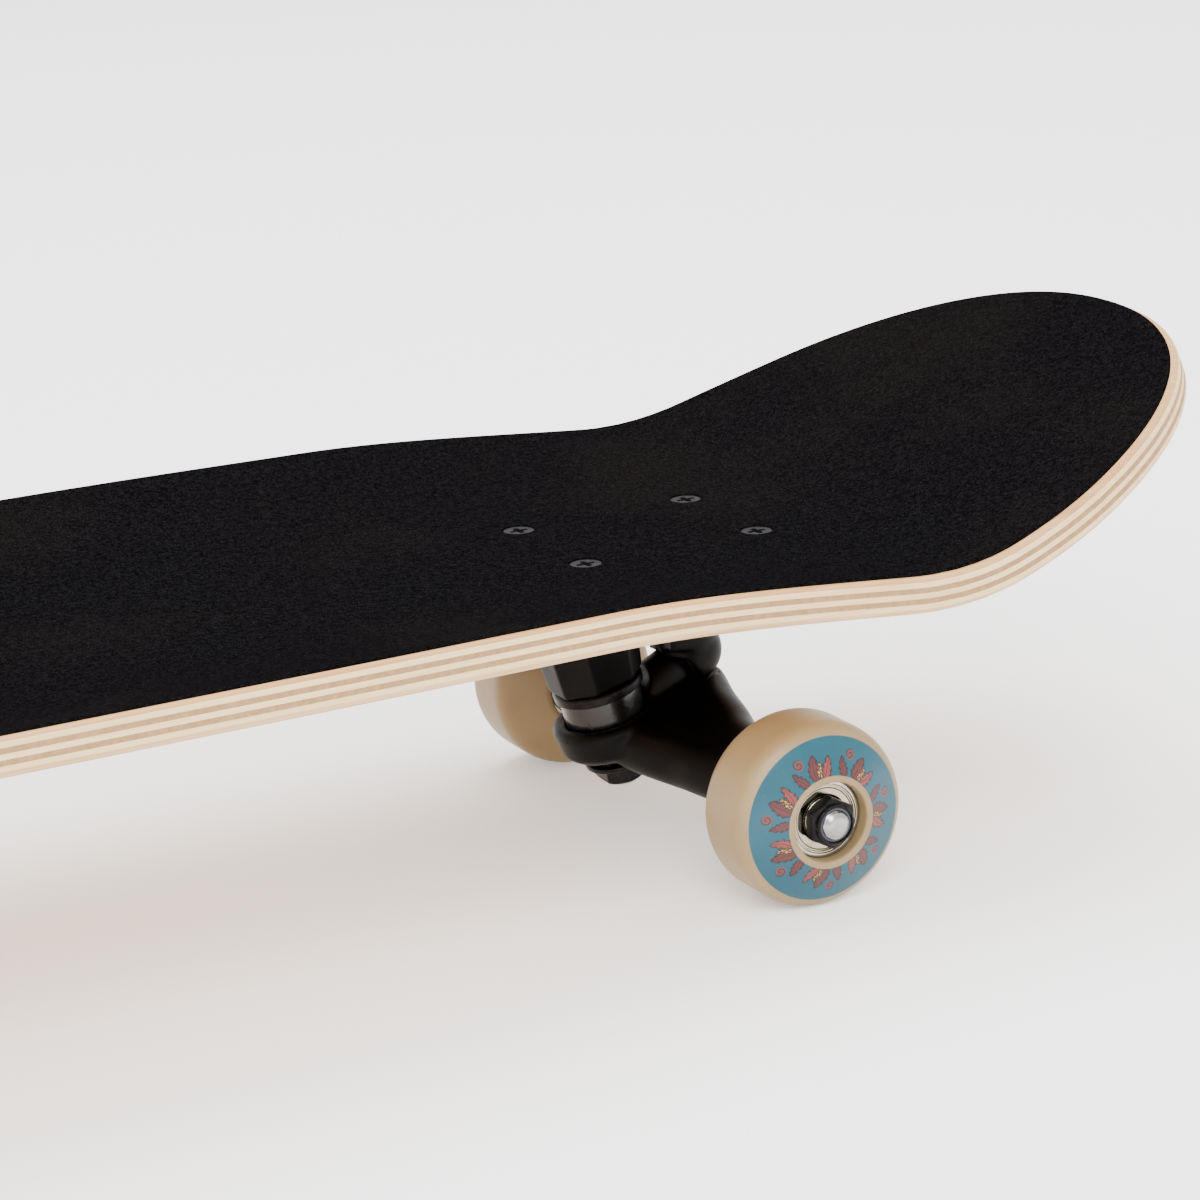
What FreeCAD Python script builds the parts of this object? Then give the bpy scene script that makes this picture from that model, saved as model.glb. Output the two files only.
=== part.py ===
"""Skateboard: a pressed seven-ply deck on two sprung trucks, with four wheels on ball bearings.

Millimetres. +Z is up, +X runs along the board and Y across it. The origin is on the ground
under the middle of the board. Every driving size is a cell of the sheet "Sizes", and lengths
that follow from others are the formulas in DERIVED.
"""
import FreeCAD, Part
import math
import os
import re
import Sketcher
from FreeCAD import Placement, Rotation, Vector

SIZES = {
    # deck
    "deck_width": (206.0, "widest, at the middle of the board"),
    "truck_spacing": (432.0, "between the centres of the two bolt patterns"),
    "tip_reach": (171.0, "along the board, bolt pattern centre to tip"),
    "waist_taper": (4.7, "how much narrower each side is beside a truck"),
    "taper_start": (-160.0, "along the board, from the bolt pattern centre"),
    "taper_end": (20.0, "where the narrowing ends"),
    "round_start": (38.0, "where the end of the board begins to round off"),
    "round_power": (2.26, "superellipse power along the board"),
    "round_side_power": (2.17, "superellipse power across the board"),
    "kick_start": (31.0, "where the deck bends up"),
    "kick_radius": (98.0, "radius of that bend"),
    "kick_angle": (20.8, "slope of the nose and tail, degrees"),
    "concave_rise": (13.0, "how far the side edges stand above the middle"),
    "concave_power": (1.7, "how sharply the concave curves up"),
    "concave_flat": (27.0, "half width of the flat middle band"),
    "fade_start": (-59.0, "where the concave begins to fade out"),
    "fade_end": (100.0, "where the end of the board is flat across"),
    "ply_thickness": (1.5, "each of the seven plies"),
    "grip_thickness": (0.9, "grip tape"),
    "plate_gap": (0.02, "between the deck and the trucks' plates"),
    # truck bolts
    "bolt_spacing_x": (54.0, "bolt pattern, along the board"),
    "bolt_spacing_y": (41.3, "bolt pattern, across the board"),
    "bolt_diameter": (4.8, "shank"),
    "bolt_head_diameter": (9.2, "flat head"),
    "bolt_head_height": (2.8, "flat head"),
    "bolt_gap": (0.2, "between a bolt and the holes it passes"),
    "bolt_sink": (0.35, "head below the grip tape's surface"),
    "bolt_stickout": (1.2, "bolt beyond its nut"),
    "bolt_nut_flats": (9.5, "lock nut across its flats"),
    "bolt_nut_height": (5.4, "lock nut"),
    # baseplate
    "plate_length": (80.0, "mounting plate, along the board"),
    "plate_width": (53.0, "mounting plate, across the board"),
    "plate_height": (5.0, "mounting plate"),
    "plate_corner": (9.0, "radius of its corners"),
    "boss_length": (31.0, "kingpin boss at the plate, along the board"),
    "boss_width": (29.0, "kingpin boss at the plate, across the board"),
    "boss_chamfer": (8.0, "corners of the boss"),
    "boss_inset": (5.8, "boss at the plate, inboard of the washer seat"),
    "boss_shrink": (0.82, "size of the boss at its washer, as a share of its root"),
    "housing_wall": (2.12, "pivot cup housing, round the cup"),
    "housing_lead": (1.2, "upright end of the housing, inboard of the pivot"),
    "housing_inboard": (10.0, "housing block, from the pivot towards the kingpin"),
    # kingpin and bushings, measured down the kingpin from the cup washer's seat
    "seat_inset": (15.4, "washer seat inboard of the bolt pattern centre"),
    "seat_drop": (29.65, "washer seat below the deck"),
    "kingpin_lean": (14.5, "degrees off vertical, foot leaning outboard"),
    "kingpin_diameter": (9.5, "shank"),
    "kingpin_gap": (0.1, "between the kingpin and the pieces stacked on it"),
    "head_cover": (2.0, "from the deck down to the kingpin's head"),
    "head_height": (5.4, "kingpin head"),
    "kingpin_flats": (14.3, "head and nut across their flats"),
    "kingpin_end": (33.0, "foot of the kingpin"),
    "kingpin_nut_height": (5.6, "lock nut"),
    "washer_thickness": (1.5, "both bushing washers"),
    "cup_rim": (3.2, "depth of the cup washer's rim"),
    "cup_rim_wall": (0.95, "cup washer's rim, round the bushing"),
    "bushing_radius": (12.0, "board-side bushing"),
    "bushing_gap": (0.15, "between a bushing and the metal round it"),
    "neck_radius": (7.6, "bushing necks inside the ring"),
    "lower_bushing_foot": (8.6, "radius of the road-side bushing at its washer"),
    "washer_step": (1.9, "road-side washer inside the bushing's edge"),
    "lower_bushing_height": (6.3, "road-side bushing below the ring's web"),
    # hanger
    "ring_start": (10.6, "top lip of the ring"),
    "ring_height": (10.6, "ring"),
    "ring_wall": (4.1, "ring, round the bushing recess"),
    "seat_depth": (3.2, "bushing recess on each side of the ring"),
    "neck_gap": (0.8, "between the bushing necks and the ring's web"),
    "cup_room": (1.6, "hanger cut back round the cup washer"),
    "washer_room": (2.6, "hanger cut back round the road-side washer"),
    "pivot_x": (14.5, "pivot centre outboard of the bolt pattern centre"),
    "pivot_drop": (26.5, "pivot centre below the deck"),
    "pivot_radius": (5.5, "pivot tip"),
    "pivot_gap": (0.08, "running gap in the pivot cup"),
    "cup_wall": (2.1, "pivot cup"),
    "cup_mouth": (4.0, "pivot cup, from the pivot centre to its mouth"),
    "axle_drop": (52.1, "axle below the deck"),
    "axle_x": (9.3, "axle outboard of the bolt pattern centre"),
    "hanger_width": (118.0, "between the faces the wheels are stacked on"),
    "sleeve_radius": (9.0, "hanger round the axle, at its ends"),
    "web_reach": (54.0, "half width over which the hanger's web thins out"),
    "web_power": (1.15, "how quickly it thins"),
    "web_ring_round": (8.0, "radius of the web's corner at the ring"),
    "web_axle_round": (9.7, "radius of the web's corner at the axle"),
    "web_pivot_round": (9.0, "radius of the web's corner at the pivot"),
    "web_pivot_x": (2.5, "that corner outboard of the pivot centre"),
    "web_pivot_drop": (13.5, "that corner below the pivot centre"),
    "housing_room": (1.0, "hanger cut back round the pivot housing"),
    "web_skin": (0.6, "web inside the sleeve at its ends"),
    "arm_radius": (9.0, "pivot arm where it leaves the web"),
    "arm_length": (24.0, "pivot arm, from the pivot centre into the web"),
    "axle_diameter": (7.94, "axle"),
    "axle_stickout": (19.2, "axle beyond each wheel's middle"),
    "axle_chamfer": (0.8, "chamfer on the axle's ends"),
    "fixed_gap": (0.02, "between fixed round pieces"),
    # wheel
    "wheel_radius": (26.0, "tread"),
    "hub_half": (15.5, "wheel half width at the hub"),
    "tread_edge": (9.6, "half width where tread and side face would meet"),
    "tread_round": (6.5, "radius between tread and side face"),
    "lip_radius": (12.7, "outside of the flat lip round the bearing seat"),
    "core_bore": (8.6, "bore between the two bearing seats"),
    "core_half": (5.0, "half distance between the two bearing seats"),
    # bearing, 22 x 8 x 7
    "bearing_radius": (11.0, "outer ring"),
    "bearing_width": (7.0, "both rings"),
    "bearing_play": (0.03, "between the axle and the inner ring"),
    "inner_ring_wall": (2.05, "inner ring"),
    "outer_ring_bore": (9.2, "inside of the outer ring"),
    "ball_circle": (7.5, "radius of the circle of ball centres"),
    "ball_radius": (1.9, "ball"),
    "race_gap": (0.08, "between balls and races"),
    "shield_inset": (0.35, "shield below the ring's face"),
    "shield_thickness": (0.35, "shield"),
    "shield_gap": (0.3, "between the shield and the inner ring"),
    "cage_post": (0.55, "radius of the cage's posts between the balls"),
    # small pieces on the axle
    "speed_washer": (0.8, "speed washer thickness"),
    "speed_washer_wall": (1.71, "speed washer, from its hole to its edge"),
    "axle_nut_flats": (12.7, "axle nut across its flats"),
    "axle_nut_height": (5.4, "axle nut with its collar"),
    "axle_nut_hex": (3.9, "height of its hexagon"),
    "collar_wall": (0.9, "axle nut's round collar, round the insert"),
    "collar_lip": (0.4, "collar beyond the insert"),
    "insert_wall": (0.91, "nylon insert"),
    "insert_height": (2.2, "nylon insert"),
    "spacer_wall": (1.21, "spacer between the bearings"),
}

DERIVED = {
    "deck_thickness": "7 * ply_thickness",
    "deck_base": "wheel_radius + axle_drop",
    "truck_x": "truck_spacing / 2",
    "ring_middle": "ring_start + ring_height / 2",
    "ring_web_top": "ring_start + seat_depth",
    "ring_web_foot": "ring_start + ring_height - seat_depth",
    "lower_washer_start": "ring_web_foot + lower_bushing_height",
    "nut_start": "lower_washer_start + washer_thickness",
    "ring_x": "-seat_inset + ring_middle * sin(kingpin_lean)",
    "ring_z": "-seat_drop - ring_middle * cos(kingpin_lean)",
    "pivot_rise": "-pivot_drop - ring_z",
    "pivot_run": "pivot_x - ring_x",
    "pivot_slope": "atan2(pivot_rise; pivot_run) / (1 deg)",
    "cup_radius": "pivot_radius + pivot_gap + cup_wall",
    "housing_radius": "cup_radius + housing_wall",
    "head_start": "head_height - (seat_drop - head_cover) / cos(kingpin_lean)",
    "bushing_seat": "bushing_radius + bushing_gap",
    "cup_washer_radius": "bushing_seat + cup_rim_wall",
    "lower_washer_radius": "bushing_radius - washer_step",
    "ring_radius": "bushing_seat + ring_wall",
    "ring_hole": "neck_radius + neck_gap",
    "axle_bore": "axle_diameter / 2 + fixed_gap",
    "bore_radius": "axle_diameter / 2 + bearing_play",
    "inner_ring_radius": "bore_radius + inner_ring_wall",
    "speed_washer_radius": "axle_bore + speed_washer_wall",
    "insert_radius": "axle_bore + insert_wall",
    "collar_radius": "insert_radius + collar_wall",
    "spacer_radius": "axle_bore + spacer_wall",
    "cage_room": "bearing_width / 2 - shield_inset - shield_thickness - ball_radius",
    "cage_half": "(ball_circle - inner_ring_radius) / 2.4",
    "bearing_middle": "core_half + bearing_width / 2",
    "bearing_face": "core_half + bearing_width",
    "axle_nut_start": "bearing_face + speed_washer",
    "wheel_y": "hanger_width / 2 + speed_washer + bearing_face",
    "axle_half": "wheel_y + axle_stickout",
    "bolt_top": "deck_thickness + grip_thickness - bolt_sink",
    "bolt_nut_foot": "-plate_height - bolt_nut_height",
}

BALLS = 7
DECK_LAYERS = ["grip_tape"] + ["deck_ply_%d" % (k + 1) for k in range(7)]

doc = FreeCAD.newDocument("Skateboard")
sheet = doc.addObject("Spreadsheet::Sheet", "Sizes")
for row, (alias, (number, note)) in enumerate(SIZES.items(), start=1):
    sheet.set("A%d" % row, alias)
    sheet.set("B%d" % row, str(number))
    sheet.set("C%d" % row, note)
    sheet.setAlias("B%d" % row, alias)
doc.recompute()


# ---------------------------------------------------------------- sizes and placing
def formula(text):
    """Write DERIVED names out in full, then point every size at its cell."""
    def swap(match):
        word = match.group(0)
        if word in DERIVED:
            return "(" + formula(DERIVED[word]) + ")"
        return "Sizes." + word if word in SIZES else word
    return re.sub(r"(?<![\w.])[a-z_]+[a-z]\b", swap, text)


def size(text):
    """The value of a formula, as a plain number."""
    value = sheet.evalExpression(formula(text))
    return float(getattr(value, "Value", value))


def bind(thing, **cells):
    """Tie properties of an object to formulas; a double underscore stands for a dot."""
    for name, text in cells.items():
        thing.setExpression(name.replace("__", "."), formula(str(text)))
    return thing


def place(thing, x=0, y=0, z=0, axis=None, turn=None):
    """Tie an object's place, and its turn about an axis, to formulas."""
    if axis:
        thing.Placement = Placement(Vector(), Rotation(Vector(*axis), 1.0))
        bind(thing, Placement__Rotation__Angle=turn)
    return bind(thing, Placement__Base__x=x, Placement__Base__y=y, Placement__Base__z=z)


def down_kingpin(thing):
    """Stand an object on the kingpin: its own +Z runs down the pin from the washer seat."""
    return place(thing, "-seat_inset", 0, "-seat_drop", (0, 1, 0), "180 - kingpin_lean")


def along_pivot(thing):
    """Stand an object on the pivot: its own +Z runs up the steering axis from the centre."""
    return place(thing, "pivot_x", 0, "-pivot_drop", (0, 1, 0), "90 - pivot_slope")


def on_axle(thing, y):
    """Turn an object's own +Z to +Y and set it on the axle at y."""
    return place(thing, "axle_x", y, "-axle_drop", (1, 0, 0), "-90")


# ---------------------------------------------------------------- making solids
def origin_plane(body, role):
    return next(item for item in body.Origin.OriginFeatures if item.Role == role)


def outline(body, plane, points, lift=0):
    """A closed sketch of straight sides on one of a body's own planes."""
    sketch = body.newObject("Sketcher::SketchObject", body.Name + "_outline")
    sketch.AttachmentSupport = [(origin_plane(body, plane), "")]
    sketch.MapMode = "FlatFace"
    bind(sketch, AttachmentOffset__Base__z=lift)
    return drawn(sketch, points)


def drawn(sketch, points):
    """Draw straight sides in a sketch and tie its corners to pairs of formulas."""
    corners = [Vector(size(str(a)), size(str(b)), 0) for a, b in points]
    count = len(corners)
    for i in range(count):
        sketch.addGeometry(Part.LineSegment(corners[i], corners[(i + 1) % count]))
    for i in range(count):
        sketch.addConstraint(Sketcher.Constraint("Coincident", i, 2, (i + 1) % count, 1))
    for i, (a, b) in enumerate(points):
        for kind, value, text in (("DistanceX", corners[i].x, a), ("DistanceY", corners[i].y, b)):
            number = sketch.addConstraint(Sketcher.Constraint(kind, -1, 1, i, 1, value))
            sketch.setExpression("Constraints[%d]" % number, formula(str(text)))
    return sketch


def turned(name, *points):
    """A solid of revolution about its own Z from (radius, height) corners."""
    body = doc.addObject("PartDesign::Body", name)
    sketch = outline(body, "XZ_Plane", points)
    spin = body.newObject("PartDesign::Revolution", name + "_turn")
    spin.Profile = sketch
    spin.ReferenceAxis = (sketch, ["V_Axis"])
    spin.Angle = 360
    doc.recompute()
    return body


def padded(name, points, start, height):
    """A prism along its own Z from (x, y) corners."""
    body = doc.addObject("PartDesign::Body", name)
    sketch = outline(body, "XY_Plane", points, start)
    pad = body.newObject("PartDesign::Pad", name + "_pad")
    pad.Profile = sketch
    bind(pad, Length=height)
    doc.recompute()
    return body


def rounded(body, radius, chosen):
    """Round the edges of a body that the test picks."""
    last = body.Tip
    names = ["Edge%d" % (i + 1) for i, edge in enumerate(last.Shape.Edges) if chosen(edge)]
    soft = body.newObject("PartDesign::Fillet", body.Name + "_round")
    soft.Base = (last, names)
    bind(soft, Radius=radius)
    doc.recompute()
    return body


def upright(edge):
    return edge.Curve.TypeId == "Part::GeomLine" and abs(edge.Curve.Direction.z) > 0.99


def hexagon(flats):
    """The corners of a hexagon of a given size across its flats."""
    corner = "(%s) / 2 / cos(30)" % flats
    return [("%s * cos(%d)" % (corner, 60 * k), "%s * sin(%d)" % (corner, 60 * k)) for k in range(6)]


def combine(kind, name, *things):
    """A boolean of whole objects: Cut takes a base and a tool, the others a list."""
    result = doc.addObject("Part::" + kind, name)
    if kind == "Cut":
        result.Base, result.Tool = things
    elif kind == "Compound":
        result.Links = list(things)
    else:
        result.Shapes = list(things)
    return result


def mirrored(thing, normal):
    """A mirror image across a plane through the origin."""
    image = doc.addObject("Part::Mirroring", thing.Name + "_image")
    image.Source = thing
    image.Normal = normal
    image.Base = Vector()
    return image


def both_sides(name, thing, normal=Vector(0, 1, 0)):
    return combine("Compound", name, thing, mirrored(thing, normal))


def at_four_bolts(name, thing):
    """An object standing on the Z axis, repeated at the corners of the bolt pattern."""
    corner = place(combine("Compound", name + "_corner", thing), "bolt_spacing_x / 2", "bolt_spacing_y / 2")
    pair = both_sides(name + "_pair", corner, Vector(1, 0, 0))
    return both_sides(name, pair)


def cylinder(name, radius, height, **where):
    return place(bind(doc.addObject("Part::Cylinder", name), Radius=radius, Height=height), **where)


def drilled(name, thing, radius, start, length):
    """Cut a round hole along the object's own Z."""
    tool = cylinder(name + "_drill", radius, length, z=start)
    return combine("Cut", name, thing, tool)


# ---------------------------------------------------------------- nodes
nodes = []


def node(label, thing):
    """Give a sub-part its name; its solids come from one object."""
    named = combine("Compound", label, thing)
    named.Label = label
    nodes.append(named)
    return named


def truck_nodes(label, thing):
    """The same sub-part on the front truck, and turned half round on the rear one."""
    place(node("front_" + label, thing), "truck_x", 0, "deck_base")
    place(node("rear_" + label, thing), "-truck_x", 0, "deck_base", (0, 0, 1), "180")


def wheel_nodes(label, thing):
    """The same sub-part on each of the four wheels, its own +Z facing outwards."""
    for end, x in (("front", "truck_x + axle_x"), ("rear", "-truck_x - axle_x")):
        for side, sign in (("left", ""), ("right", "-")):
            named = node("%s_%s_%s" % (end, side, label), thing)
            place(named, x, sign + "wheel_y", "wheel_radius", (1, 0, 0), "90" if sign else "-90")


# ---------------------------------------------------------------- deck
def smooth(share):
    share = min(max(share, 0.0), 1.0)
    return share * share * (3 - 2 * share)


def fade(position, start, end):
    return smooth((position - start) / (end - start))


def deck_point(along, across, depth):
    """A point of the pressed deck.

    along is measured from the middle of the board and follows its curve: flat, then an arc of
    kick_radius, then straight at kick_angle. Across, the deck is flat in a middle band and
    then rises by a power law, less and less towards the tips. depth is measured into the
    deck, square to that curve.
    """
    run = abs(along) - size("truck_x")
    turn = min(max((run - deck["kick_start"]) / deck["kick_radius"], 0.0), deck["kick_turn"])
    straight = max(run - deck["kick_start"] - deck["kick_radius"] * deck["kick_turn"], 0.0)
    x = min(run, deck["kick_start"]) + deck["kick_radius"] * math.sin(turn) + straight * math.cos(turn)
    z = deck["kick_radius"] * (1 - math.cos(turn)) + straight * math.sin(turn)
    rise = deck["concave_rise"] * (1 - fade(run, deck["fade_start"], deck["fade_end"]))
    band = deck["deck_width"] / 2 - deck["concave_flat"]
    share = max(abs(across) - deck["concave_flat"], 0.0) / band
    lift = rise * share ** deck["concave_power"] - depth
    x += deck["truck_x"] - math.sin(turn) * lift
    return Vector(math.copysign(x, along) if along else 0.0, across, deck["top"] + z + math.cos(turn) * lift)


def half_width(run):
    """Half the deck's width where the end has not begun to round off."""
    return deck["deck_width"] / 2 - deck["waist_taper"] * fade(run, deck["taper_start"], deck["taper_end"])


def deck_values():
    """The deck's sizes as plain numbers, read once from the sheet."""
    names = [name for name in SIZES if name.split("_")[0] in
             ("deck", "tip", "waist", "taper", "round", "kick", "concave", "fade", "ply", "grip")]
    values = {name: size(name) for name in names}
    values["kick_turn"] = math.radians(values["kick_angle"])
    values["truck_x"] = size("truck_x")
    values["top"] = size("deck_base + plate_gap + deck_thickness")
    return values


def pressed_sheet(depth):
    """One half of the deck's pressed surface at one depth, larger than its outline.

    It is one spline surface through an even grid of points, from the middle to past the tip.
    """
    spare = 6.0
    length = deck["truck_x"] + deck["tip_reach"] + spare
    reach = deck["deck_width"] / 2 + spare
    rows, columns = 34, 10
    surface = Part.BSplineSurface()
    surface.interpolate([[deck_point(length * i / rows, reach * k / columns, depth)
                          for k in range(-columns, columns + 1)] for i in range(rows + 1)])
    return surface.toShape()


def pressed_slab(name, top, bottom):
    """The solid between two pressed surfaces."""
    upper, lower = pressed_sheet(top), pressed_sheet(bottom)
    sides = [Part.makeRuledSurface(a, b) for a, b in zip(upper.Edges, lower.Edges)]
    shell = Part.makeShell([upper, lower] + sides)
    shell.sewShape()
    solid = Part.makeSolid(shell)
    if solid.Volume < 0:
        solid.reverse()
    slab = doc.addObject("Part::Feature", name)
    slab.Shape = solid
    return slab


def end_trimmer():
    """A prism square to the kick that trims one end and both sides to the board's outline.

    Beyond round_start the outline is a superellipse, drawn by its angle from the side to the tip.
    """
    start, middle = deck["round_start"], -deck["truck_x"]
    waist = half_width(start)
    side = [(run, half_width(run)) for run in
            [middle - 30 + (start - middle + 30) * k / 12 for k in range(13)]]
    nose = []
    for k in range(21):
        angle = math.pi / 2 * k / 20
        run = start + (deck["tip_reach"] - start) * math.sin(angle) ** (2 / deck["round_power"])
        nose.append((run, waist * max(math.cos(angle), 0.0) ** (2 / deck["round_side_power"])))
    slope = Vector(math.cos(deck["kick_turn"]), 0, math.sin(deck["kick_turn"]))
    square = Vector(-slope.z, 0, slope.x)
    heel = deck_point(deck["truck_x"] + deck["tip_reach"], 0.0, 0.0)

    def flattened(edge):
        points = [deck_point(abs(deck["truck_x"] + run), 0.0, 0.0) + Vector(0, width, 0)
                  for run, width in edge]
        for point, (run, width) in zip(points, edge):
            point.x = math.copysign(point.x, deck["truck_x"] + run)
        return [point - square * (point - heel).dot(square) for point in points]

    def spline(points):
        curve = Part.BSplineCurve()
        curve.interpolate(points)
        return curve.toShape()

    def opposite(points):
        return [Vector(p.x, -p.y, p.z) for p in reversed(points)]

    left, end = flattened(side), flattened(nose)
    right = opposite(left)
    wire = Part.Wire([spline(left), spline(end + opposite(end)[1:]), spline(right),
                      Part.makeLine(right[-1], left[0])])
    face = Part.Face(wire)
    deep = deck["truck_x"]
    face.translate(square * -deep)
    trimmer = doc.addObject("Part::Feature", "end_trimmer")
    trimmer.Shape = face.extrude(square * 2 * deep)
    return trimmer


def make_deck():
    """Each layer is two mirrored halves: a pressed slab inside a trimmer with the bolt holes.

    The holes step in under the bolt heads, within the first two plies.
    """
    head, shank = "bolt_head_diameter / 2 + bolt_gap", "bolt_diameter / 2 + bolt_gap"
    seat, foot = "bolt_top - 0.45 * bolt_head_height", "bolt_top - 0.93 * bolt_head_height"
    under = "0.55 * (%s) + 0.45 * (%s)" % (head, shank)
    drill = turned("deck_drill", (0, -1), (shank, -1), (shank, foot), (under, foot), (under, seat),
                   (head, seat), (head, "bolt_top + 2"), (0, "bolt_top + 2"))
    holes = place(at_four_bolts("deck_holes", drill), "truck_x", 0, "deck_base")
    trimmer = combine("Cut", "drilled_trimmer", end_trimmer(), holes)
    depth = -deck["grip_thickness"]
    for name in DECK_LAYERS:
        below = 0.0 if name == "grip_tape" else depth + deck["ply_thickness"]
        slab = pressed_slab(name + "_slab", depth, below)
        half = combine("MultiCommon", name + "_half", slab, trimmer)
        node(name, combine("MultiFuse", name + "_board", half, mirrored(half, Vector(1, 0, 0))))
        depth = below


# ---------------------------------------------------------------- truck
def make_truck_bolts():
    shank, foot = "bolt_diameter / 2", "bolt_nut_foot - bolt_stickout"
    bolt = turned("deck_bolt", (0, foot), (shank, foot), (shank, "bolt_top - bolt_head_height"),
                  ("bolt_head_diameter / 2", "bolt_top"), (0, "bolt_top"))
    truck_nodes("deck_bolts", at_four_bolts("deck_bolts", bolt))
    nut = padded("deck_nut_hex", hexagon("bolt_nut_flats"), "bolt_nut_foot", "bolt_nut_height")
    nut = drilled("deck_nut", nut, "bolt_diameter / 2 + fixed_gap",
                  "bolt_nut_foot - 1", "bolt_nut_height + 2")
    truck_nodes("deck_nuts", at_four_bolts("deck_nuts", nut))


def boss_section(name, share):
    """An eight-sided outline of the kingpin boss, on the plane it is placed on."""
    x, y, cut = ["(%s) * %s" % (text, share)
                 for text in ("boss_length / 2", "boss_width / 2", "boss_chamfer")]
    quarter = [(x, "%s - %s" % (y, cut)), ("%s - %s" % (x, cut), y)]
    upper = quarter + [("-(%s)" % a, b) for a, b in reversed(quarter)]
    lower = [(a, "-(%s)" % b) for a, b in reversed(upper)]
    return drawn(doc.addObject("Sketcher::SketchObject", name), upper + lower)


def make_baseplate():
    x, y = "plate_length / 2", "plate_width / 2"
    corners = [(x, y), ("-" + x, y), ("-" + x, "-" + y), (x, "-" + y)]
    plate = rounded(padded("plate", corners, "-plate_height", "plate_height"), "plate_corner", upright)
    boss = make_boss()
    housing = make_housing()
    solid = combine("MultiFuse", "baseplate_solid", plate, boss, housing)
    pin_hole = down_kingpin(turned(
        "kingpin_hole", (0, "head_start"), ("kingpin_diameter / 2 + kingpin_gap", "head_start"),
        ("kingpin_diameter / 2 + kingpin_gap", 5), (0, 5)))
    head_pocket = down_kingpin(padded(
        "head_pocket", hexagon("kingpin_flats + 2 * bolt_gap"), "head_start - 20", 20))
    cup_hole = along_pivot(round_ended("cup_hole", "cup_radius + fixed_gap", "-cup_mouth - 6"))
    bolt_hole = cylinder("bolt_hole", "bolt_diameter / 2 + bolt_gap",
                         "3 * plate_height", z="-2 * plate_height")
    bolt_holes = at_four_bolts("bolt_holes", bolt_hole)
    tools = combine("MultiFuse", "baseplate_tools", pin_hole, head_pocket, cup_hole)
    cut = combine("Cut", "baseplate_bored", solid, tools)
    truck_nodes("baseplate", combine("Cut", "baseplate", cut, bolt_holes))


def make_boss():
    """A loft from the plate down to the washer seat, square to the kingpin at its foot."""
    root = place(boss_section("boss_root", "1"), "-seat_inset - boss_inset", 0,
                 "-plate_height / 2", (0, 1, 0), "180")
    foot = down_kingpin(boss_section("boss_foot", "boss_shrink"))
    loft = doc.addObject("Part::Loft", "boss")
    loft.Sections = [root, foot]
    loft.Solid = True
    loft.Ruled = True
    return loft


def make_housing():
    """The pivot cup's housing: a rounded block under the plate that ends round the cup."""
    round_end = cylinder("housing_end", "housing_radius", "pivot_drop",
                         x="pivot_x - housing_lead", z="-pivot_drop")
    block = bind(doc.addObject("Part::Box", "housing_block"),
                 Length="housing_inboard", Width="2 * housing_radius", Height="pivot_drop - 3")
    place(block, "pivot_x - housing_inboard", "-housing_radius", "-pivot_drop + 3")
    nose = along_pivot(round_ended("housing_nose", "housing_radius", "-cup_mouth"))
    return combine("MultiFuse", "housing", round_end, block, nose)


def round_ended(name, radius, start):
    """A pin along its own Z from a start to a half-round end about the origin."""
    steps = [("(%s) * cos(%d)" % (radius, a), "(%s) * sin(%d)" % (radius, a)) for a in range(0, 90, 10)]
    return turned(name, (0, start), (radius, start), *steps, (0, radius))


def make_pivot_cup():
    outside = round_ended("cup_outside", "cup_radius", "-cup_mouth")
    hollow = round_ended("cup_inside", "pivot_radius + pivot_gap", "-cup_mouth - 6")
    truck_nodes("pivot_cup", along_pivot(combine("Cut", "pivot_cup", outside, hollow)))


def make_kingpin():
    """Headed pin, its washers, bushings and lock nut, all stacked down the kingpin."""
    shank = "kingpin_diameter / 2"
    bore = "kingpin_diameter / 2 + kingpin_gap"
    pin = turned("kingpin_shank", (0, "head_start"), (shank, "head_start"), (shank, "kingpin_end - 1"),
                 (shank + " - 1", "kingpin_end"), (0, "kingpin_end"))
    head = padded("kingpin_head", hexagon("kingpin_flats"), "head_start - head_height", "head_height")
    truck_nodes("kingpin", down_kingpin(combine("MultiFuse", "kingpin", pin, head)))
    nut = padded("kingpin_nut_hex", hexagon("kingpin_flats"), "nut_start", "kingpin_nut_height")
    nut = drilled("kingpin_nut", nut, shank + " + fixed_gap", "nut_start - 1", "kingpin_nut_height + 2")
    truck_nodes("kingpin_nut", down_kingpin(nut))
    seat, rim = "bushing_seat", "cup_washer_radius"
    cup = turned("cup_washer", (bore, 0), (rim, 0), (rim, "cup_rim"), (seat, "cup_rim"),
                 (seat, "washer_thickness"), (bore, "washer_thickness"))
    truck_nodes("cup_washer", down_kingpin(cup))
    flat = turned("flat_washer", (bore, "lower_washer_start"), ("lower_washer_radius", "lower_washer_start"),
                  ("lower_washer_radius", "nut_start"), (bore, "nut_start"))
    truck_nodes("lower_washer", down_kingpin(flat))
    neck_end = "ring_middle - 0.5"
    upper = turned("upper_bushing", (bore, "washer_thickness"), ("bushing_radius", "washer_thickness"),
                   ("bushing_radius", "ring_web_top"), ("neck_radius", "ring_web_top"),
                   ("neck_radius", neck_end), (bore, neck_end))
    truck_nodes("upper_bushing", down_kingpin(upper))
    neck_start = "ring_middle + 0.5"
    lower = turned("lower_bushing", (bore, neck_start), ("neck_radius", neck_start),
                   ("neck_radius", "ring_web_foot"), ("bushing_radius", "ring_web_foot"),
                   ("bushing_radius", "ring_web_foot + seat_depth"),
                   ("lower_bushing_foot", "lower_washer_start"), (bore, "lower_washer_start"))
    truck_nodes("lower_bushing", down_kingpin(lower))


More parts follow.
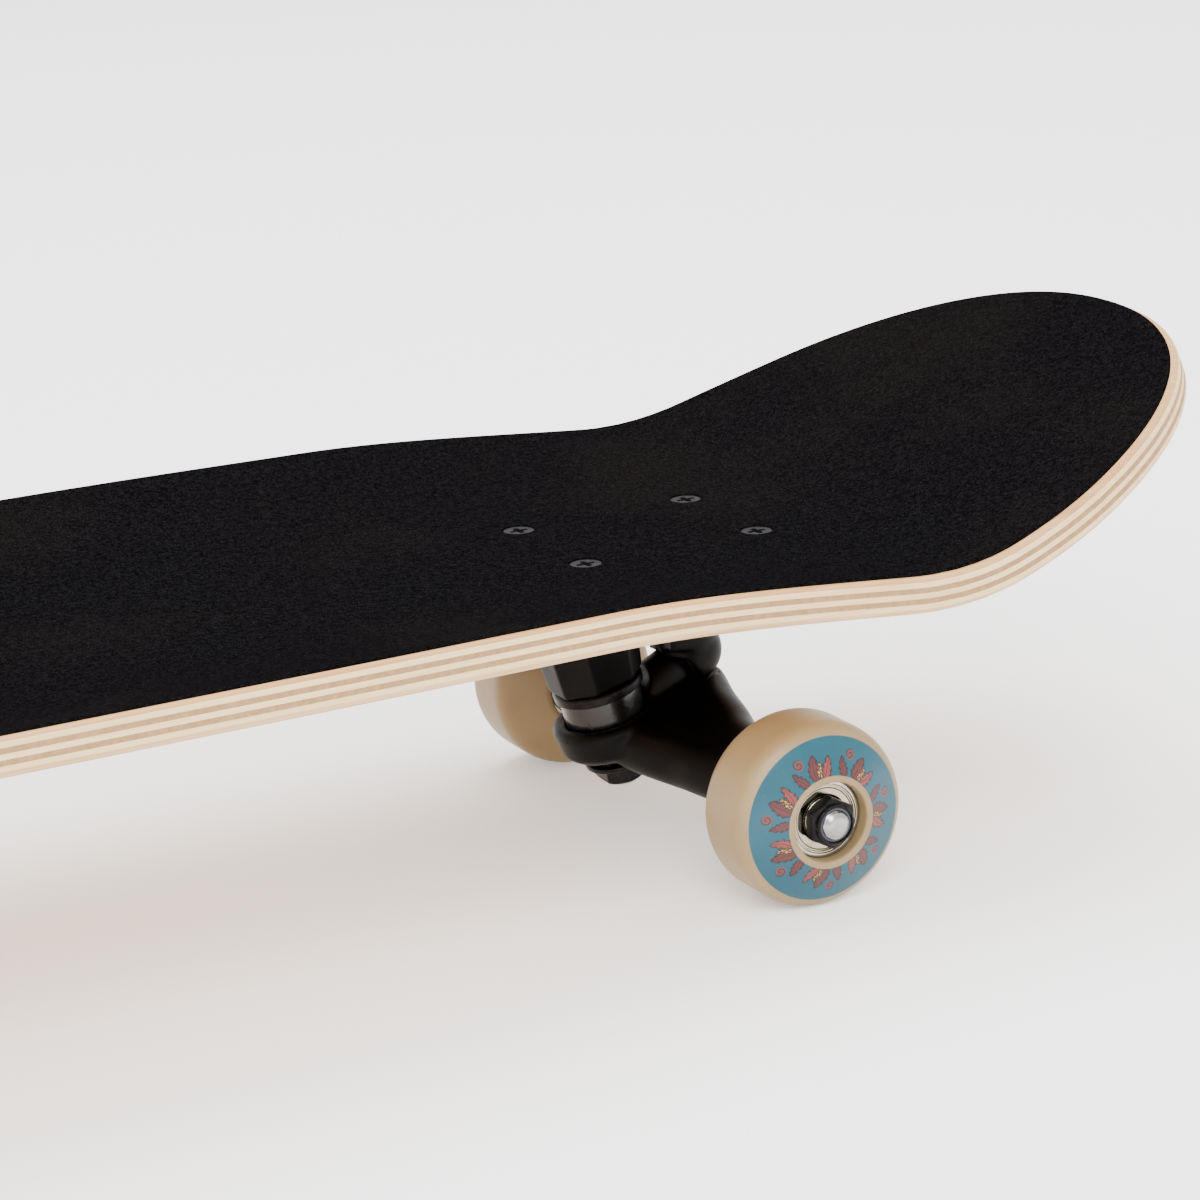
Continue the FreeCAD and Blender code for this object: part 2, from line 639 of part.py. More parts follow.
def rounded_triangle(y, corners):
    """A closed wire round three circles (x, z, radius) in the plane at y."""
    def unit(x, z):
        length = math.hypot(x, z)
        return x / length, z / length

    def point(corner, normal):
        return Vector(corner[0] + corner[2] * normal[0], y, corner[1] + corner[2] * normal[1])

    normals = []
    for a, b in zip(corners, corners[1:] + corners[:1]):
        reach = math.hypot(b[0] - a[0], b[1] - a[1])
        ahead = unit(b[0] - a[0], b[1] - a[1])
        lean = (a[2] - b[2]) / reach
        level = math.sqrt(1 - lean * lean)
        normals.append((ahead[1] * level + ahead[0] * lean, -ahead[0] * level + ahead[1] * lean))
    edges = []
    for i, corner in enumerate(corners):
        before, after = normals[i - 1], normals[i]
        middle = unit(before[0] + after[0], before[1] + after[1])
        edges.append(Part.Arc(point(corner, before), point(corner, middle), point(corner, after)).toShape())
        edges.append(Part.makeLine(point(corner, after), point(corners[(i + 1) % 3], after)))
    return Part.Wire(edges)


def hanger_web():
    """The cast web: at the middle it takes in the ring, the pivot arm and the axle, and it
    narrows by a power law to a round sleeve on the axle at each end."""
    axle = (size("axle_x"), -size("axle_drop"))
    end = size("hanger_width / 2")
    middle = ((size("ring_x - 3"), size("ring_z"), size("web_ring_round")),
              (axle[0] + 1, axle[1] + 1, size("web_axle_round")),
              (size("pivot_x + web_pivot_x"), size("-pivot_drop - web_pivot_drop"),
               size("web_pivot_round")))
    reach, power, sleeve = size("web_reach"), size("web_power"), size("sleeve_radius - web_skin")
    spread = ((-0.6, -0.3), (0.6, -0.3), (0.0, 0.6))
    wires = []
    for k in range(-7, 8):
        y = end * k / 7
        share = max(1 - abs(y) / reach, 0.0) ** power
        corners = []
        for (x, z, radius), (dx, dz) in zip(middle, spread):
            corners.append((axle[0] + dx + (x - axle[0]) * share, axle[1] + dz + (z - axle[1]) * share,
                            sleeve + (radius - sleeve) * share))
        wires.append(rounded_triangle(y, corners))
    web = doc.addObject("Part::Feature", "hanger_web")
    web.Shape = Part.makeLoft(wires, True, False)
    return web


def make_hanger():
    ring = down_kingpin(turned("ring", (0, "ring_start"), ("ring_radius - 1.5", "ring_start"),
                               ("ring_radius", "ring_start + 1.5"),
                               ("ring_radius - 1", "ring_start + ring_height - 2"),
                               ("ring_radius - 3", "ring_start + ring_height"),
                               (0, "ring_start + ring_height")))
    arm = along_pivot(turned("pivot_arm", (0, "-arm_length"), ("arm_radius", "-arm_length"),
                             ("pivot_radius + 0.6", "-cup_mouth - 2"),
                             ("pivot_radius", "-cup_mouth - 1.4"), (0, "-cup_mouth - 1.4")))
    tip = along_pivot(round_ended("pivot_tip", "pivot_radius", "-cup_mouth - 4"))
    room = along_pivot(cylinder("pivot_room", "housing_radius + housing_room", "2 * pivot_drop"))
    bind(room, Placement__Base__x="pivot_x - (cup_mouth + housing_room) * cos(pivot_slope)",
         Placement__Base__z="-pivot_drop - (cup_mouth + housing_room) * sin(pivot_slope)")
    web = combine("Cut", "web_below_housing", hanger_web(), room)
    solid = combine("MultiFuse", "hanger_solid", web, ring, arm, tip)
    seat, foot = "bushing_seat", "kingpin_end + 12"
    above, below = "cup_washer_radius + cup_room", "lower_washer_radius + washer_room"
    bushing_hole = down_kingpin(turned(
        "bushing_hole", (0, "-cup_room"), (above, "-cup_room"), (above, "cup_rim + cup_room"),
        (seat, "ring_start"), (seat, "ring_web_top"), ("ring_hole", "ring_web_top"),
        ("ring_hole", "ring_web_foot"), (seat, "ring_web_foot"), (seat, "ring_start + ring_height"),
        (below, "lower_washer_start"), (below, foot), (0, foot)))
    axle_hole = cylinder("axle_hole", "axle_bore", "2 * hanger_width")
    place(axle_hole, "axle_x", "-hanger_width", "-axle_drop", (1, 0, 0), "-90")
    bored = combine("Cut", "hanger_bushed", solid, bushing_hole)
    truck_nodes("hanger", combine("Cut", "hanger", bored, axle_hole))


def make_axle():
    rod, end = "axle_diameter / 2", "axle_half"
    half = [(rod, "-%s + axle_chamfer" % end), (rod + " - axle_chamfer", "-" + end)]
    axle = turned("axle", (0, "-" + end), half[1], half[0], (rod, end + " - axle_chamfer"),
                  (rod + " - axle_chamfer", end), (0, end))
    truck_nodes("axle", on_axle(axle, 0))


def make_axle_pieces():
    """What is stacked on the axle with each wheel: washers, spacer, nut and its insert."""
    hole = "axle_bore"
    washer = turned("speed_washer", (hole, "bearing_face"), ("speed_washer_radius", "bearing_face"),
                    ("speed_washer_radius", "axle_nut_start"), (hole, "axle_nut_start"))
    pair = both_sides("speed_washer_pair", washer, Vector(0, 0, 1))
    truck_nodes("speed_washers", both_sides("speed_washers", on_axle(pair, "wheel_y")))
    spacer = turned("spacer", (hole, "-core_half"), ("spacer_radius", "-core_half"),
                    ("spacer_radius", "core_half"), (hole, "core_half"))
    spacer = on_axle(combine("Compound", "spacer_one", spacer), "wheel_y")
    truck_nodes("bearing_spacers", both_sides("spacers", spacer))
    start, top = "axle_nut_start", "axle_nut_start + axle_nut_height"
    shelf, floor = top + " - collar_lip", top + " - collar_lip - insert_height"
    hexagonal = padded("axle_nut_hex", hexagon("axle_nut_flats"), start, "axle_nut_hex")
    collar = turned("axle_nut_collar", (0, start), ("collar_radius", start),
                    ("collar_radius", shelf), ("collar_radius - collar_lip", top), (0, top))
    bore = turned("axle_nut_bore", (0, start + " - 1"), (hole, start + " - 1"), (hole, floor),
                  ("insert_radius", floor), ("insert_radius", shelf), ("insert_radius - 0.3", shelf),
                  ("insert_radius - 0.3", top + " + 1"), (0, top + " + 1"))
    nut = combine("Cut", "axle_nut", combine("MultiFuse", "axle_nut_solid", hexagonal, collar), bore)
    truck_nodes("axle_nuts", both_sides("axle_nuts", on_axle(nut, "wheel_y")))
    insert = turned("insert", (hole, floor), ("insert_radius", floor),
                    ("insert_radius", shelf), (hole, shelf))
    insert = combine("Compound", "insert_one", insert)
    truck_nodes("axle_nut_inserts", both_sides("axle_nut_inserts", on_axle(insert, "wheel_y")))


# ---------------------------------------------------------------- wheels and bearings
def groove(name, ring):
    """Cut the balls' race out of a bearing ring."""
    race = bind(doc.addObject("Part::Torus", name + "_race"),
                Radius1="ball_circle", Radius2="ball_radius + race_gap")
    return combine("Cut", name, ring, race)


def bearing_pair(name, thing):
    """An object centred on a bearing, at both bearings of a wheel."""
    outer = place(combine("Compound", name + "_outer", thing), 0, 0, "bearing_middle")
    return both_sides(name, outer, Vector(0, 0, 1))


def make_wheel():
    seat = "bearing_radius + fixed_gap"
    half = [("core_bore", "core_half"), (seat, "core_half"), (seat, "hub_half - 0.6"),
            (seat + " + 0.5", "hub_half"), ("lip_radius", "hub_half"), ("wheel_radius", "tread_edge")]
    other = [(r, "-(%s)" % z) for r, z in reversed(half)]
    wheel = turned("wheel", *(half + other))
    tread = size("wheel_radius")
    rounded(wheel, "tread_round", lambda edge: edge.Curve.TypeId == "Part::GeomCircle"
            and abs(edge.Curve.Radius - tread) < 1e-6)
    wheel_nodes("wheel", wheel)


def make_bearings():
    half = "bearing_width / 2"
    inner = groove("inner_ring", turned(
        "inner_ring_blank", ("bore_radius", "-" + half), ("inner_ring_radius", "-" + half),
        ("inner_ring_radius", half), ("bore_radius", half)))
    pair = on_axle(bearing_pair("inner_rings", inner), "wheel_y")
    truck_nodes("bearing_inner_rings", both_sides("inner_rings_all", pair))
    step = "%s - shield_inset - shield_thickness" % half
    lip = "outer_ring_bore + 0.5"
    blank = turned("outer_ring_blank", ("bearing_radius", "-" + half), ("bearing_radius", half), (lip, half),
                   (lip, step), ("outer_ring_bore", step), ("outer_ring_bore", "-(%s)" % step),
                   (lip, "-(%s)" % step), (lip, "-" + half))
    wheel_nodes("bearing_outer_rings", bearing_pair("outer_rings", groove("outer_ring", blank)))
    bore = "inner_ring_radius + shield_gap"
    shield = turned("shield", (bore, step), (lip, step), (lip, step + " + shield_thickness"),
                    (bore, step + " + shield_thickness"))
    shields = both_sides("shields", shield, Vector(0, 0, 1))
    wheel_nodes("bearing_shields", bearing_pair("shield_pairs", shields))
    wheel_nodes("bearing_balls", bearing_pair("ball_sets", make_balls_and_cage()))


def make_balls_and_cage():
    """A ring of balls, and a crown cage: a ribbon beside them with a post between each pair."""
    pieces = []
    inside, outside = "ball_circle - cage_half", "ball_circle + cage_half"
    start, end = "ball_radius + cage_room / 4", "ball_radius + 3 * cage_room / 4"
    ribbon = turned("cage_ribbon", (inside, start), (outside, start), (outside, end), (inside, end))
    posts = [ribbon]
    for k in range(BALLS):
        angle = 360.0 * k / BALLS
        ball = bind(doc.addObject("Part::Sphere", "ball_%d" % k), Radius="ball_radius")
        pieces.append(place(ball, "ball_circle * cos(%f)" % angle, "ball_circle * sin(%f)" % angle))
        between = math.radians(angle + 180.0 / BALLS)
        post = cylinder("post_%d" % k, "cage_post", "ball_radius + 0.2 + cage_room / 3", z="-0.2",
                        x="ball_circle * %f" % math.cos(between), y="ball_circle * %f" % math.sin(between))
        posts.append(post)
    return combine("Compound", "balls_and_cage", combine("MultiFuse", "cage", *posts), *pieces)


# ---------------------------------------------------------------- build, check and write
deck = deck_values()
make_deck()
make_truck_bolts()
make_baseplate()
make_pivot_cup()
make_kingpin()
make_hanger()
make_axle()
make_axle_pieces()
make_wheel()
make_bearings()
doc.recompute()

failed = [item.Name for item in doc.Objects if {"Invalid", "Error"} & set(item.State)]
if failed:
    raise RuntimeError("did not build: %s" % ", ".join(failed))
for item in nodes:
    if item.Shape.isNull() or not item.Shape.isValid() or not item.Shape.Solids:
        raise RuntimeError("%s has no sound solid" % item.Label)

os.makedirs("parts", exist_ok=True)
for item in nodes:
    item.Shape.exportStep("parts/%s.step" % item.Label)
    box = item.Shape.BoundBox
    print("%-34s %2d solids %10.1f mm3  z %.2f to %.2f" %
          (item.Label, len(item.Shape.Solids), item.Shape.Volume, box.ZMin, box.ZMax))
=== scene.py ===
"""A skateboard: a pressed seven-ply deck with grip tape, two cast trucks and four wheels.

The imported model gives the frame: metres, +X along the board, +Z up, wheels standing on z = 0.
Shapes below are worked out in millimetres in that frame, as grids of points.
"""
import math

import bmesh
import bpy
import numpy as np
from mathutils import Matrix, Vector


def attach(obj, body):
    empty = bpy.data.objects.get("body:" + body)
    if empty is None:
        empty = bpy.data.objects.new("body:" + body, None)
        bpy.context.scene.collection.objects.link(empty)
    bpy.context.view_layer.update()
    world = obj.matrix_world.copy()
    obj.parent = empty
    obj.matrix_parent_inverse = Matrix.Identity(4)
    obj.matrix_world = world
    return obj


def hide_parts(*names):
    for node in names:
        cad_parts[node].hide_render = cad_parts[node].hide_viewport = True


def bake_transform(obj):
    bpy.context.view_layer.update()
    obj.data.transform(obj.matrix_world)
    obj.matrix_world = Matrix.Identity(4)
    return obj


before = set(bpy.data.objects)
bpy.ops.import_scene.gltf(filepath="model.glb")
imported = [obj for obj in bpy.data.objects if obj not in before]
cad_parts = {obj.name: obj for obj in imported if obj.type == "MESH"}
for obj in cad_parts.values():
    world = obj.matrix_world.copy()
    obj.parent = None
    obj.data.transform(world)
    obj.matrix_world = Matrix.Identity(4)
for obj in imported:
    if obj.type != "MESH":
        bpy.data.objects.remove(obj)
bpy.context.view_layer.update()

MM = 0.001
TAU = 2 * math.pi
ENDS = {"front": 1, "rear": -1}
SIDES = {"left": 1, "right": -1}

# deck, in millimetres
TRUCK_X, TIP_REACH, DECK_WIDTH, DECK_TOP = 216.0, 171.0, 206.0, 88.6
PLY, GRIP, EDGE_ROUND = 1.5, 0.9, 2.7
KICK_START, KICK_RADIUS, KICK_TURN = 31.0, 98.0, math.radians(20.8)
WAIST_TAPER, ROUND_START = 4.7, 38.0
BOLT_X, BOLT_Y, BOLT_TOP = 27.0, 20.65, DECK_TOP + 0.9 - 0.35
# trucks and wheels
SEAT, LEAN = (-15.4, 48.45), math.radians(14.5)
AXLE_X, WHEEL_Y, WHEEL_R = 9.3, 71.8, 26.0
AXLE_R, AXLE_TIP, KINGPIN_R, FOOT = 3.97, 91.0, 4.75, 33.0
SHIELD_FACE, THREAD_RING = 12.0, 96
# studio
FLOOR_REACH, FLOOR_DROP = 9000, 0.05
LENS, LENS_REACH = 117.1074, 1099.92


# ---------------------------------------------------------------- meshes
def smooth(share):
    share = np.clip(share, 0.0, 1.0)
    return share * share * (3 - 2 * share)


def quads(rows, columns, first=0):
    """The corner numbers of a grid's faces, for points numbered row by row from first."""
    at = np.arange(rows * columns).reshape(rows, columns) + first
    return np.stack([at[:-1, :-1], at[1:, :-1], at[1:, 1:], at[:-1, 1:]], -1).reshape(-1, 4)


def solid(name, grids, crease=32):
    """A closed mesh from grids of points, welded where their edges meet."""
    corners, count = [], 0
    for grid in grids:
        rows, columns = grid.shape[:2]
        corners.append(quads(rows, columns, count))
        count += rows * columns
    mesh = bpy.data.meshes.new(name)
    mesh.from_pydata(np.concatenate([g.reshape(-1, 3) for g in grids]) * MM, [], np.concatenate(corners))
    return settled(name, mesh, crease)


def settled(name, mesh, crease=32):
    """Weld doubles, turn faces outwards, shade smoothly between creases, and link an object."""
    work = bmesh.new()
    work.from_mesh(mesh)
    bmesh.ops.remove_doubles(work, verts=work.verts, dist=2e-6)
    bmesh.ops.dissolve_degenerate(work, edges=work.edges, dist=1e-7)
    bmesh.ops.recalc_face_normals(work, faces=work.faces)
    work.to_mesh(mesh)
    work.free()
    mesh.shade_smooth()
    mesh.set_sharp_from_angle(angle=math.radians(crease))
    thing = bpy.data.objects.new(name, mesh)
    bpy.context.scene.collection.objects.link(thing)
    return thing


def applied(thing):
    """The object with its modifiers made part of its mesh."""
    graph = bpy.context.evaluated_depsgraph_get()
    graph.update()
    mesh = bpy.data.meshes.new_from_object(thing.evaluated_get(graph))
    thing.modifiers.clear()
    thing.data = mesh
    return thing


def finished(thing, finish, slot, body, *nodes):
    """Give a piece its finish, hide the nodes it stands for, and fix it to its body; slot is not used."""
    thing.data.materials.clear()
    thing.data.materials.append(finish)
    if nodes:
        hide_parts(*nodes)
    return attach(thing, body)


def softened(corners, radius, closed=True, steps=4):
    """A profile with each corner replaced by a quadratic curve that starts radius before it."""
    p = np.array(corners, float)
    back, ahead = np.roll(p, 1, 0) - p, np.roll(p, -1, 0) - p
    before = np.linalg.norm(back, axis=1, keepdims=True)
    after = np.linalg.norm(ahead, axis=1, keepdims=True)
    cut = np.minimum(np.broadcast_to(radius, len(p))[:, None], 0.45 * np.minimum(before, after))
    if not closed:
        cut[[0, -1]] = 0
    t = np.linspace(0, 1, steps + 1)[None, :, None]
    start, end, middle = p + back / before * cut, p + ahead / after * cut, p[:, None]
    curve = (1 - t) ** 2 * start[:, None] + 2 * t * (1 - t) * middle + t ** 2 * end[:, None]
    loop = curve.reshape(-1, 2)
    return np.vstack([loop, loop[:1]]) if closed else loop


def round_axis(radius, height, centre, axis):
    """A grid round an axis: centre + axis * height + radius * (side cos t + other sin t).

    radius and height are arrays of rows along the profile by columns round the axis.
    """
    axis = np.array(axis, float)
    side = np.cross((0, 1, 0) if abs(axis[1]) < 0.9 else (0, 0, 1), axis)
    side /= np.linalg.norm(side)
    other = np.cross(axis, side)
    t = np.linspace(0, TAU, radius.shape[1])[None, :, None]
    ring = np.cos(t) * side + np.sin(t) * other
    return np.array(centre) + axis * height[..., None] + radius[..., None] * ring


def lathe(profile, centre, axis, ring=96):
    """A profile of (radius, height) carried all the way round an axis."""
    profile = np.asarray(profile, float)
    wide = np.ones((1, ring + 1))
    return round_axis(profile[:, :1] * wide, profile[:, 1:] * wide, centre, axis)


def down(end, depth=0.0):
    """A point down the kingpin from its washer seat, and the kingpin's direction."""
    sign = ENDS[end]
    axis = np.array([sign * math.sin(LEAN), 0, -math.cos(LEAN)])
    return np.array([sign * (TRUCK_X + SEAT[0]), 0, SEAT[1]]) + axis * depth, axis


def hub(end, side):
    """A wheel's centre and its outward direction."""
    centre = (ENDS[end] * (TRUCK_X + AXLE_X), SIDES[side] * WHEEL_Y, WHEEL_R)
    return np.array(centre), np.array([0.0, SIDES[side], 0.0])


# ---------------------------------------------------------------- finishes
class Value:
    """A shader socket that takes part in sums; each operator adds one Math node."""

    def __init__(self, finish, socket):
        self.finish, self.socket = finish, socket

    def math(self, kind, *others, first=None):
        inputs = [self if first is None else first, *(others if first is None else [self])]
        return self.finish.node("ShaderNodeMath", {"operation": kind}, dict(enumerate(inputs)))

    def __add__(self, other): return self.math("ADD", other)
    def __radd__(self, other): return self.math("ADD", other)
    def __sub__(self, other): return self.math("SUBTRACT", other)
    def __rsub__(self, other): return self.math("SUBTRACT", first=other)
    def __mul__(self, other): return self.math("MULTIPLY", other)
    def __rmul__(self, other): return self.math("MULTIPLY", other)
    def __truediv__(self, other): return self.math("DIVIDE", other)
    def __neg__(self): return self.math("MULTIPLY", -1.0)

    def least(self, other): return self.math("MINIMUM", other)
    def most(self, other): return self.math("MAXIMUM", other)
    def size(self): return self.math("ABSOLUTE")
    def sine(self): return self.math("SINE")
    def cosine(self): return self.math("COSINE")
    def fraction(self): return self.math("FRACT")
    def root(self): return self.math("SQRT")

    def step(self, low, high):
        """0 below low and 1 above high, with a smooth turn between; low may be the larger."""
        if low > high:
            return 1 - self.step(high, low)
        return self.finish.node("ShaderNodeMapRange", {"interpolation_type": "SMOOTHSTEP"},
                                {"Value": self, "From Min": low, "From Max": high})


class Finish:
    """A material built from a Principled shader and a few named patterns."""

    def __init__(self, name, colour, **constants):
        self.material = bpy.data.materials.new(name)
        self.material.use_nodes = True
        self.tree = self.material.node_tree
        self.shader = self.tree.nodes["Principled BSDF"]
        self.shader.inputs["Base Color"].default_value = (*colour, 1)
        for key, value in constants.items():
            self.shader.inputs[key.replace("_", " ")].default_value = value
        self.place = self.node("ShaderNodeTexCoord", out="Object")

    def node(self, kind, settings=None, inputs=None, out=0):
        """Add any node: its settings first, then values or links for its sockets."""
        made = self.tree.nodes.new(kind)
        for key, value in (settings or {}).items():
            setattr(made, key, value)
        for key, value in (inputs or {}).items():
            if isinstance(value, Value):
                self.tree.links.new(value.socket, made.inputs[key])
            else:
                made.inputs[key].default_value = value
        return Value(self, made.outputs[out])

    def feed(self, **values):
        """Link values to the shader's own sockets."""
        for key, value in values.items():
            self.tree.links.new(value.socket, self.shader.inputs[key.replace("_", " ")])
        return self.material

    def split(self, vector):
        parts = self.tree.nodes.new("ShaderNodeSeparateXYZ")
        self.tree.links.new(vector.socket, parts.inputs[0])
        return [Value(self, socket) for socket in parts.outputs]

    def stretched(self, scale, shift=(0, 0, 0)):
        return self.node("ShaderNodeMapping", None, {"Vector": self.place, "Scale": scale, "Location": shift})

    def noise(self, scale, detail=3.0, roughness=0.5, at=None, distortion=0.0):
        """Soft noise; scale is in features a metre."""
        return self.node("ShaderNodeTexNoise", None, {
            "Vector": at or self.place, "Scale": scale, "Detail": detail,
            "Roughness": roughness, "Distortion": distortion})

    def grains(self, scale, out="Distance", at=None):
        return self.node("ShaderNodeTexVoronoi", None, {"Vector": at or self.place, "Scale": scale}, out)

    def mix(self, share, a, b):
        """Colour a where share is 0 and colour b where it is 1."""
        made = self.tree.nodes.new("ShaderNodeMix")
        made.data_type = "RGBA"
        sockets = {"Factor": made.inputs[0], "A": made.inputs[6], "B": made.inputs[7]}
        for key, value in (("Factor", share), ("A", a), ("B", b)):
            if isinstance(value, Value):
                self.tree.links.new(value.socket, sockets[key])
            elif isinstance(value, tuple):
                sockets[key].default_value = (*value, 1)
            else:
                sockets[key].default_value = value
        return Value(self, made.outputs[2])

    def bump(self, height, distance, strength=1.0):
        """Relief from a height; distance is its depth in metres."""
        return self.node("ShaderNodeBump", None,
                         {"Height": height, "Distance": distance, "Strength": strength}, "Normal")


def grit_finish():
    """Abrasive grains: near-black crystals, some dust, and a few grains painted lighter as a painted glint,
    which are also made less rough.
    """
    f = Finish("grip grit", (0.012, 0.0115, 0.0125), Specular_IOR_Level=0.0)
    cells = f.grains(3600)
    pick = f.split(f.grains(3600, "Color"))
    # painted glint: picked grains get a lighter painted colour standing in for light caught by the crystals;
    # their lower roughness is real
    painted_glint = pick[0].step(0.72, 1.0)
    painted_glint_colour = f.mix(pick[1], (0.020, 0.016, 0.012), (0.011, 0.014, 0.019))
    patch = f.noise(14, 4).step(0.42, 0.72)
    base = f.mix(f.noise(700, 2).step(0.35, 0.7), (0.0018, 0.0016, 0.0019), (0.0046, 0.0041, 0.0046))
    dusty = f.mix(patch * 0.16, base, (0.012, 0.0095, 0.0070))
    colour = f.mix(painted_glint * 0.6, dusty, painted_glint_colour)
    relief = f.bump((1 - cells) * 0.7 + f.noise(1500, 2) * 0.6, 0.00016, 0.7)
    return f.feed(Base_Color=colour, Roughness=0.95 - painted_glint * 0.25, Normal=relief)


def veneer_finish(name, light, dark, fibre, seed):
    """Wood with its fibres along one axis; cut across them, it shows short end-grain dashes."""
    f = Finish(name, light, Specular_IOR_Level=0.3, Coat_Roughness=0.35)
    along = tuple(12.0 if axis == fibre else 520.0 for axis in range(3))
    streak = f.noise(1.0, 3, 0.6, f.stretched(along, (seed, 2 * seed, 0)), 0.3)
    wide = tuple(3.0 if axis == fibre else 60.0 for axis in range(3))
    figure = f.noise(1.0, 4, 0.55, f.stretched(wide, (seed, 0, seed)), 0.8)
    pores = tuple(45.0 if axis == fibre else 1500.0 for axis in range(3))
    dash = f.noise(1.0, 1, 0.5, f.stretched(pores, (0, seed, seed)))
    colour = f.mix(streak.step(0.3, 0.72), light, dark)
    colour = f.mix(figure.step(0.45, 0.8) * 0.35, colour, dark)
    colour = f.mix(dash.step(0.62, 0.74) * 0.22, colour, tuple(0.6 * c for c in dark))
    relief = f.bump(dash * 0.5 + streak * 0.5, 0.00006, 0.6)
    return f.feed(Base_Color=colour, Roughness=0.46 + streak * 0.2, Normal=relief)


def casting_finish():
    """Satin black paint over a sand-cast skin, with a faint bloom of dust."""
    f = Finish("black casting", (0.012, 0.011, 0.011), Specular_IOR_Level=0.1)
    skin = f.noise(2600, 2) * 0.5 + f.noise(420, 3) * 0.7
    haze = f.noise(55, 4).step(0.45, 0.75)
    colour = f.mix(haze * 0.5, (0.0008, 0.0007, 0.0007), (0.0022, 0.0018, 0.0016))
    return f.feed(Base_Color=colour, Roughness=0.40 + haze * 0.14, Normal=f.bump(skin, 0.00009, 0.55))


def blackened_finish(name, colour=(0.035, 0.034, 0.036), rough=0.3, worn=0.0):
    """Blackened steel, slightly mottled; worn shows bright metal where it is rubbed."""
    f = Finish(name, colour, Metallic=0.85)
    mottle = f.noise(900, 3)
    bright = f.noise(1300, 3).step(0.56, 0.7) * worn
    shade = f.mix(mottle.step(0.35, 0.7), tuple(0.6 * c for c in colour), colour)
    shade = f.mix(bright, shade, (0.42, 0.40, 0.37))
    return f.feed(Base_Color=shade, Roughness=rough + mottle * 0.16,
                  Normal=f.bump(f.noise(1800, 2), 0.00003, 0.4))


def steel_finish(name, colour, rough, fine=1600):
    """Bare steel with a fine ground texture and slight staining."""
    f = Finish(name, colour, Metallic=1.0)
    stain = f.noise(350, 3).step(0.4, 0.75)
    shade = f.mix(stain * 0.5, colour, tuple(0.62 * c for c in colour))
    return f.feed(Base_Color=shade, Roughness=rough + stain * 0.12,
                  Normal=f.bump(f.noise(fine, 2), 0.00002, 0.35))


def moulded_finish(name, colour, rough, coat=0.0):
    """Moulded plastic or rubber with a faint pebble and scuffs."""
    f = Finish(name, colour, Coat_Weight=coat, Coat_Roughness=0.12)
    scuff = f.noise(240, 4).step(0.5, 0.8)
    shade = f.mix(scuff * 0.4, colour, tuple(min(1.0, 1.8 * c + 0.01) for c in colour))
    return f.feed(Base_Color=shade, Roughness=rough + scuff * 0.15,
                  Normal=f.bump(f.noise(1500, 2), 0.00003, 0.35))


SPRAYS = 7
# each leaf of a spray: out and across from the wheel's middle, heading, length, half width,
# curl and colour; each curl: out, across and reach
LEAVES = [
    (13.0, 2.2, 0.95, 5.6, 1.35, -0.045, "rose"), (13.0, -2.4, -0.85, 5.2, 1.2, 0.045, "brick"),
    (13.0, 0.2, 0.12, 6.4, 1.6, 0.020, "brick"), (13.4, 1.2, 0.55, 4.0, 0.8, -0.040, "gold"),
]
CURLS = [(18.6, -3.0, 1.5)]
INKS = {"rose": (0.150, 0.022, 0.018), "brick": (0.066, 0.006, 0.007), "gold": (0.36, 0.19, 0.035),
        "line": (0.010, 0.006, 0.009), "teal": (0.0006, 0.060, 0.088)}


